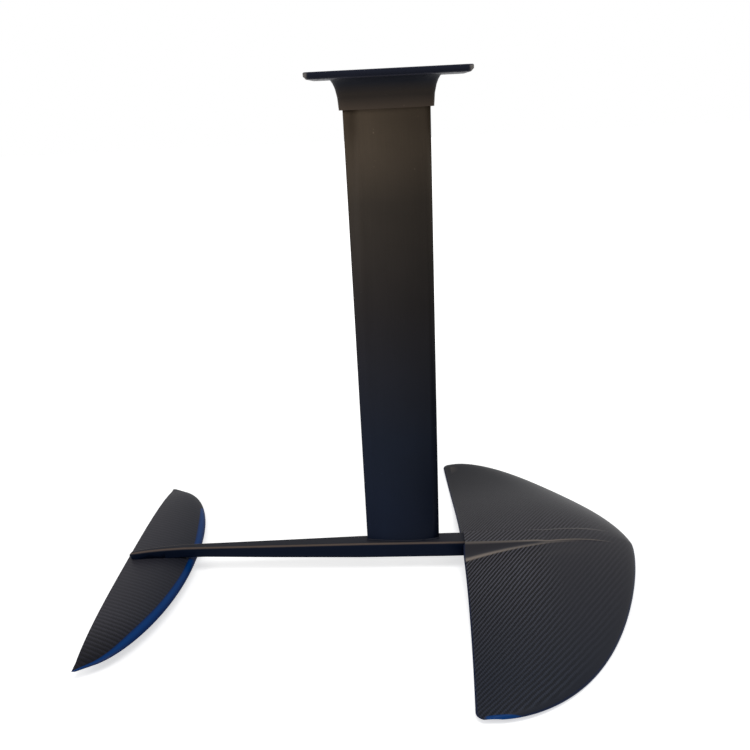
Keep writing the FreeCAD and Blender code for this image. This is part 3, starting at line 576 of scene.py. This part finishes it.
# cloth draped on the front wing: its lines turn and widen a little towards the nose
def wingCarbon():
    look = wingCloth
    made = Finish("wingCarbon", IOR=1.5, Specular_IOR_Level=look["specular"])
    x, y = made.x, made.y
    lead, trail, _ = frontRule(frontWing, y)
    sway = swayOf(made, look["slowSway"], look["quickSway"])
    byX, byY, byXX, byXY, byYY = look["acrossBy"]
    across = x * byX - y * byY - x ** 2 * byXX + x * y * byXY + y ** 2 * byYY + sway
    alongX, alongY = look["alongBy"]
    scale, depth = look["alongSway"]
    along = x * alongX + y * alongY + (made.noise(scale, 1) - 0.5) * depth
    over, height = twill(across, along)

    # the twill is the cloth's own pattern; how strongly its lines show is painted sheen, most on
    # the near half behind and fading to the nose and the far tip
    near = y.ramp(*look["halfAt"])
    gain, rest = look["nearGain"]
    strong = x.ramp(*look["nearNose"]) * (y.ramp(*look["nearTip"]) ** 2 * gain + rest)
    gain, rest = look["nearLevel"]
    nearStrength = near * (strong * gain + rest)
    gain, rest = look["farGain"]
    farStrength = (1 - near) * (y.ramp(*look["farTip"]) * gain + rest)
    farStrength = farStrength * (lead - x).ramp(*look["farNose"])
    strength = (nearStrength + farStrength) * made.facing["Z"].ramp(*look["flatTurn"])
    glint = made.noise(carbonLook["glintScale"], 2, 0.7, (1, 1, 0.2))
    weave = (over + height * 0.5 - carbonLook["weaveMiddle"]) * strength * carbonLook["weaveDepth"]
    weave = (weave + (glint - 0.5) * look["glintDepth"]).atLeast(look["darkest"])
    # painted shade: darker and bluer towards the near tip, darker towards the far tip
    colour = made.blend(y.ramp(*look["nearAt"]), look["base"], look["near"])
    colour = made.blend(y.ramp(*look["farAt"]), colour, look["far"])
    colour = made.scaled(colour, weave + 1)

    # painted highlight in the hollow beside the spine on the near side, and along the spine's
    # shoulders
    slope = 0 - made.facing["Y"]
    behindNotch = x.ramp(*look["spineTail"])
    hollow = slope.ramp(*look["hollowFrom"]) * (1 - slope.ramp(*look["hollowTo"]))
    hollow = hollow * x.ramp(*look["hollowNose"]) * y.ramp(*look["hollowSide"]) * behindNotch
    colour = made.blend(hollow * look["hollowShare"], colour, look["filletHighlight"])
    # painted highlight along the spine's shoulders
    ridgeHighlight = 1 - abs(abs(y) - look["ridgeSide"]).ramp(*look["ridgeWidth"])
    ridgeHighlight = ridgeHighlight * x.ramp(*look["ridgeNose"]) * behindNotch * y.above(look["ridgeLimit"])
    colour = made.blend(ridgeHighlight * look["ridgeHighlightShare"], colour, look["filletHighlight"])

    # a dark rim all round, and the underside's blue at the near tip
    rim = 1 - (lead - x).atMost(x - trail).ramp(*look["rimAt"])
    tip = (0 - y).ramp(*look["tipAt"]) * x.ramp(*look["tipFrom"])
    colour = made.blend(rim * look["rimShare"], colour, look["rim"])
    made.set("Base Color", made.blend(tip, colour, carbonLook["blue"]))
    rough = over * look["roughnessOver"] * strength + (glint - 0.5) * look["roughnessGlint"]
    made.set("Roughness", rough + look["roughness"])
    relief = height * (strength + look["bumpRest"]) + glint * carbonLook["glintBump"]
    return made.bump(relief, carbonLook["bumpHeight"])


stabCloth = {
    "specular": 0.08, "roughness": 0.34, "roughnessCloth": 0.1, "roughnessGlint": 0.1,
    "front": tint(33, 34, 41), "back": tint(46, 45, 51), "tip": tint(14, 14, 21),
    "backAt": (0.2, 0.95), "tipAt": (-0.14, -0.22), "leastChord": 0.004,
    "slope": 153.4, "pitch": 0.0061,
    "slowSway": (30, 0.3), "quickSway": (150, 0.25), "alongSway": (90, 0.3),
    "strongAt": (-0.06, -0.18), "strongGain": 0.85, "weakest": 0.34,
    "glintDepth": 0.2, "darkest": -0.8, "bumpRest": 0.12,
    # blue band over the nose: distance along the span and width in millimetres
    "bandReach": 0.24, "bandScale": 0.03, "bandEnd": 0.158, "bandEdge": (-0.0003, 0.0003),
    "band": ((-0.24, 5.5), (-0.226, 7.4), (-0.216, 8.8), (-0.202, 10.8), (-0.187, 12.8),
             (-0.17, 13.9), (-0.148, 13.6), (-0.119, 12.2), (-0.087, 11.2), (-0.031, 9.7),
             (0.04, 10.6), (0.075, 11.4), (0.108, 10.4), (0.142, 7.6), (0.153, 5.6),
             (0.158, 0.0), (0.24, 0.0)),
    # the band's middle is painted lighter as a painted reflection
    "underTurn": (-0.12, -0.02), "glowFrom": (0.05, 0.45), "glowTo": (0.7, 1.0),
    "glowShare": 0.8, "streakScale": 60, "streakDepth": 0.3,
}


# width of the blue band over the nose at a distance along the span
def bandWidth(made, y):
    look = stabCloth
    reach = look["bandReach"]
    curve = made.tree.nodes.new("ShaderNodeFloatCurve")
    line = curve.mapping.curves[0]
    marks = [((span + reach) / (2 * reach), width / (1000 * look["bandScale"]))
             for span, width in look["band"]]
    line.points[0].location, line.points[1].location = marks[0], marks[-1]
    for mark in marks[1:-1]:
        line.points.new(*mark)
    curve.mapping.update()
    connect(made.tree, curve.inputs["Value"], (y + reach) * (1 / (2 * reach)))
    return Value(made.tree, curve.outputs[0]) * look["bandScale"]


# the stabiliser's cloth runs askew, and its nose carries the underside's blue as a band
def stabCarbon():
    look = stabCloth
    made = Finish("stabCarbon", IOR=1.5, Specular_IOR_Level=look["specular"])
    x, y = made.x, made.y
    sine, cosine = math.sin(math.radians(look["slope"])), math.cos(math.radians(look["slope"]))
    sway = swayOf(made, look["slowSway"], look["quickSway"])
    across = (x * sine - y * cosine) / look["pitch"] + sway
    scale, depth = look["alongSway"]
    along = (x * cosine + y * sine) / look["pitch"] + (made.noise(scale, 1) - 0.5) * depth
    over, height = twill(across, along)
    # painted sheen: the lines show more towards the near tip
    strength = y.ramp(*look["strongAt"]) ** 2 * look["strongGain"] + look["weakest"]
    glint = made.noise(carbonLook["glintScale"], 2, 0.7, (1, 1, 0.2))
    weave = (over + height * 0.5 - carbonLook["weaveMiddle"]) * strength * carbonLook["weaveDepth"]
    weave = (weave + (glint - 0.5) * look["glintDepth"]).atLeast(look["darkest"])
    lead, trail, _ = stabRule(stabiliser, y)
    behind = (lead - x) / (lead - trail).atLeast(look["leastChord"])
    # lighter towards the tail; the near tip is painted darker as painted shade
    colour = made.blend(behind.ramp(*look["backAt"]), look["front"], look["back"])
    colour = made.blend(y.ramp(*look["tipAt"]), colour, look["tip"])
    colour = made.scaled(colour, weave + 1)

    # the band, and all that faces down, in blue; the band's middle is painted lighter as a painted
    # reflection
    inside, width = lead - x, bandWidth(made, y)
    band = 1 - (inside - width).ramp(*look["bandEdge"])
    band = band * (1 - y.above(look["bandEnd"]))
    coated = band.atLeast(1 - made.facing["Z"].ramp(*look["underTurn"]))
    middle = inside / width.atLeast(0.001)
    bandReflection = middle.ramp(*look["glowFrom"]) * (1 - middle.ramp(*look["glowTo"]))
    streak = made.noise(look["streakScale"], 3, 0.6, (1, 0.3, 1))
    bright = bandReflection * look["glowShare"] + (streak - 0.5) * look["streakDepth"]
    blue = made.blend(bright, carbonLook["blueDeep"], carbonLook["blue"])
    made.set("Base Color", made.blend(coated, colour, blue))
    rough = (1 - coated) * look["roughnessCloth"] + (glint - 0.5) * look["roughnessGlint"]
    made.set("Roughness", rough + look["roughness"])
    relief = height * (strength + look["bumpRest"]) * (1 - coated) + glint * carbonLook["glintBump"]
    return made.bump(relief, carbonLook["bumpHeight"])


underLook = {
    "specular": 0.22, "cloudScale": 9, "glintScale": 500, "acrossBy": (150, 120),
    "alongBy": (120, 150), "clothDepth": 0.16, "glintDepth": 0.12,
    "roughness": 0.34, "roughnessCloud": 0.12, "roughnessGlint": 0.08, "relief": (0.4, 0.1),
}


# blue laminate under the front wing: pigment clouds and the ghost of the cloth beneath
def blueUnder():
    look = underLook
    made = Finish("wingUnderside", IOR=1.5, Specular_IOR_Level=look["specular"])
    cloud = made.noise(look["cloudScale"], 4)
    acrossX, acrossY = look["acrossBy"]
    alongX, alongY = look["alongBy"]
    _, height = twill(made.x * acrossX - made.y * acrossY, made.x * alongX + made.y * alongY)
    glint = made.noise(look["glintScale"], 2, 0.7)
    colour = made.blend(cloud, carbonLook["blueDeep"], carbonLook["blue"])
    level = (height - 0.5) * look["clothDepth"] + (glint - 0.5) * look["glintDepth"] + 1
    made.set("Base Color", made.scaled(colour, level))
    rough = (cloud - 0.5) * look["roughnessCloud"] + (glint - 0.5) * look["roughnessGlint"]
    made.set("Roughness", rough + look["roughness"])
    ofCloth, ofGlint = look["relief"]
    return made.bump(height * ofCloth + glint * ofGlint, carbonLook["bumpHeight"])


metalLook = {
    "grainScale": 1800, "stainScale": 260, "stainDepth": 0.3, "grainDepth": 0.1,
    "roughnessSpread": 0.2, "bumpHeight": 0.00001,
}


# stainless screws and brass bushes: turned metal with fine grain and faint stains
def turnedMetal(name, colour, roughness):
    look = metalLook
    made = Finish(name, Metallic=1.0)
    grain = made.noise(look["grainScale"], 2)
    stain = made.noise(look["stainScale"], 3)
    level = (stain - 0.5) * look["stainDepth"] + (grain - 0.5) * look["grainDepth"] + 1
    made.set("Base Color", made.scaled(colour, level))
    made.set("Roughness", (stain - 0.5) * look["roughnessSpread"] + roughness)
    return made.bump(grain, look["bumpHeight"])


coreLook = {
    "cellScale": 900, "cloudScale": 25, "cloudDepth": 0.2, "cellDepth": 0.25,
    "roughness": 0.75, "roughnessSpread": 0.2, "bumpHeight": 0.0001,
}


# foam, solid laminate and rubber: a dull face of fine cells
def softCore(name, colour):
    look = coreLook
    made = Finish(name, Specular_IOR_Level=0.2)
    cell = made.noise(look["cellScale"], 3, 0.7)
    cloud = made.noise(look["cloudScale"], 2)
    level = (cloud - 0.5) * look["cloudDepth"] + (cell - 0.5) * look["cellDepth"] + 1
    made.set("Base Color", made.scaled(colour, level))
    made.set("Roughness", (cell - 0.5) * look["roughnessSpread"] + look["roughness"])
    return made.bump(cell, look["bumpHeight"])


finish = {
    "plate": anodised("plateCoat", plateColourAndPaintedLight, 0.06),
    "mast": anodised("mastAnodised", mastPaintedLight, 0.07, brushed=2),
    "foot": anodised("footAnodised", footPaintedShade, 0.07),
    "fuselage": anodised("fuselageAnodised", fuselagePaintedLight, 0.04, brushed=0),
    "wing": wingCarbon(),
    "under": blueUnder(),
    "stab": stabCarbon(),
    "steel": turnedMetal("screwSteel", tint(178, 178, 180), 0.32),
    "brass": turnedMetal("bushBrass", tint(196, 160, 96), 0.34),
    "foam": softCore("coreFoam", tint(225, 215, 185)),
    "laminate": softCore("blockLaminate", tint(82, 84, 80)),
    "rubber": softCore("plugRubber", tint(30, 30, 30)),
}
plainNodes = {
    "mast_head_plugs": "rubber", "front_wing_core": "foam", "stabiliser_core": "foam",
    "front_wing_socket": "laminate", "front_wing_bushes": "brass", "stabiliser_bushes": "brass",
}
print("finishes made:", len(finish))

for name, node in nodes.items():
    node.data.materials.clear()
    node.data.materials.append(finish[plainNodes.get(name, "steel")])

wingTop = wingShell("frontWingTop", frontWing, frontRule, False, finish["wing"])
wingBottom = wingShell("frontWingBottom", frontWing, frontRule, True, finish["under"])
stabTop = wingShell("stabiliserTop", stabiliser, stabRule, False, finish["stab"])
stabBottom = wingShell("stabiliserBottom", stabiliser, stabRule, True, finish["stab"])
for piece in (wingTop, wingBottom, stabTop, stabBottom):
    tidyMesh(piece, meshing["sharpAngle"])
bore(wingBottom, "frontWing")
bore(stabBottom, "stabiliser")
bore(stabTop, "stabiliser")
stand(wingTop, "front_wing_top_skin")
stand(wingBottom, "front_wing_bottom_skin")
stand(stabTop, "stabiliser_top_skin")
stand(stabBottom, "stabiliser_bottom_skin")
for piece in (wingTop, wingBottom, stabTop, stabBottom):
    print("  ", piece.name, len(piece.data.polygons), "faces")
print("wings formed")

# the last number is the angle in degrees from which an edge stays sharp
smoothed("mast_plate", "boardPlate", finish["plate"], 24)
smoothed("mast", "mastBlade", finish["mast"], 40)
smoothed("mast_foot", "mastFoot", finish["foot"], 40)
smoothed("fuselage", "fuselageBar", finish["fuselage"], 40)
print("bar, mast and plate dressed")


# camera, floor and light

cameraSetup = {
    "place": (0.0068, -0.9856, -0.0293),
    "lens": 35.79, "sensor": 36, "nearest": 0.01, "farthest": 50,
    "pitch": 20.51,       # degrees down
    "roll": -2.87,
    "yaw": -2.42,
}


def makeCamera():
    data = bpy.data.cameras.new("viewCamera")
    data.lens = cameraSetup["lens"]
    data.sensor_width = cameraSetup["sensor"]
    data.clip_start, data.clip_end = cameraSetup["nearest"], cameraSetup["farthest"]
    pitch, roll, yaw = (math.radians(cameraSetup[k]) for k in ("pitch", "roll", "yaw"))
    ahead = Vector((math.sin(yaw) * math.cos(pitch), math.cos(yaw) * math.cos(pitch),
                    -math.sin(pitch)))
    level = Vector((math.cos(yaw), -math.sin(yaw), 0))
    upright = level.cross(ahead)
    right = math.cos(roll) * level + math.sin(roll) * upright
    up = math.cos(roll) * upright - math.sin(roll) * level
    turn = Matrix((right, up, -ahead)).transposed().to_4x4()
    camera = bpy.data.objects.new("viewCamera", data)
    camera.matrix_world = Matrix.Translation(cameraSetup["place"]) @ turn
    bpy.context.scene.collection.objects.link(camera)
    bpy.context.scene.camera = camera


studio = {
    "floorSize": 24.0, "floorShade": 0.8, "fibreScale": 40, "fibreDepth": 0.02,
    "floorLift": 0.58,        # the floor's own light near the object, where it is seen
    "farLift": 1.0,           # the same, far from the object
    "farStart": 0.55, "farEnd": 1.3,
    "worldStrength": 0.55,
    # place, target, width, height and power of each lamp
    "keyLight": ((0.25, -0.75, 1.3), (0.1, 0, -0.6), 1.3, 0.7, 17),
    "sideLight": ((-1.6, -1.0, 0.6), (0, 0, -0.4), 1.0, 1.0, 7),
}


# 1 for the rays that see the background straight, in metal or through glass
def seenBy(tree):
    ray = tree.nodes.new("ShaderNodeLightPath")
    seen = Value(tree, ray.outputs["Is Camera Ray"])
    for other in ("Is Glossy Ray", "Is Transmission Ray"):
        seen = seen.atLeast(Value(tree, ray.outputs[other]))
    return seen


# pale paper that keeps the object's shadow and turns white far from it
def makeFloor():
    bottom = cadBox[0].z
    half = studio["floorSize"] / 2
    mesh = bpy.data.meshes.new("floor")
    mesh.from_pydata([(-half, -half, bottom), (half, -half, bottom), (half, half, bottom),
                      (-half, half, bottom)], [], [(0, 1, 2, 3)])
    floor = bpy.data.objects.new("floor", mesh)
    bpy.context.scene.collection.objects.link(floor)
    made = Finish("floorPaper", Roughness=0.9, Specular_IOR_Level=0.0)
    fibre = made.noise(studio["fibreScale"], 3)
    grey = (studio["floorShade"],) * 3
    made.set("Base Color", made.scaled(grey, (fibre - 0.5) * studio["fibreDepth"] + 1))
    away = (made.x * made.x + made.y * made.y).root()
    far = away.ramp(studio["farStart"], studio["farEnd"])
    near = (studio["floorLift"] / studio["farLift"],) * 3 + (1,)
    light = made.blend(far, near, (1, 1, 1, 1))
    made.set("Emission Color", made.blend(seenBy(made.tree), (0, 0, 0, 1), light))
    made.shader.inputs["Emission Strength"].default_value = studio["farLift"]
    mesh.materials.append(made.material)


def softbox(name):
    place, target, width, height, power = studio[name]
    data = bpy.data.lights.new(name, "AREA")
    data.shape = "RECTANGLE"
    data.size, data.size_y, data.energy = width, height, power
    lamp = bpy.data.objects.new(name, data)
    aim = (Vector(target) - Vector(place)).to_track_quat("-Z", "Y").to_matrix().to_4x4()
    lamp.matrix_world = Matrix.Translation(place) @ aim
    bpy.context.scene.collection.objects.link(lamp)


# a plain grey sky for the light, and a white one where it is seen
def makeWorld():
    world = bpy.data.worlds.new("studio")
    bpy.context.scene.world = world
    world.use_nodes = True
    tree = world.node_tree
    tree.nodes.clear()
    output = tree.nodes.new("ShaderNodeOutputWorld")
    plain = tree.nodes.new("ShaderNodeBackground")
    plain.inputs["Strength"].default_value = studio["worldStrength"]
    white = tree.nodes.new("ShaderNodeBackground")
    white.inputs["Color"].default_value = (1, 1, 1, 1)
    white.inputs["Strength"].default_value = 1.0
    mix = tree.nodes.new("ShaderNodeMixShader")
    connect(tree, mix.inputs[0], seenBy(tree))
    tree.links.new(plain.outputs[0], mix.inputs[1])
    tree.links.new(white.outputs[0], mix.inputs[2])
    tree.links.new(mix.outputs[0], output.inputs[0])


makeCamera()
makeFloor()
makeWorld()
softbox("keyLight")
softbox("sideLight")
bpy.context.scene.view_settings.view_transform = "Standard"
print("studio ready")
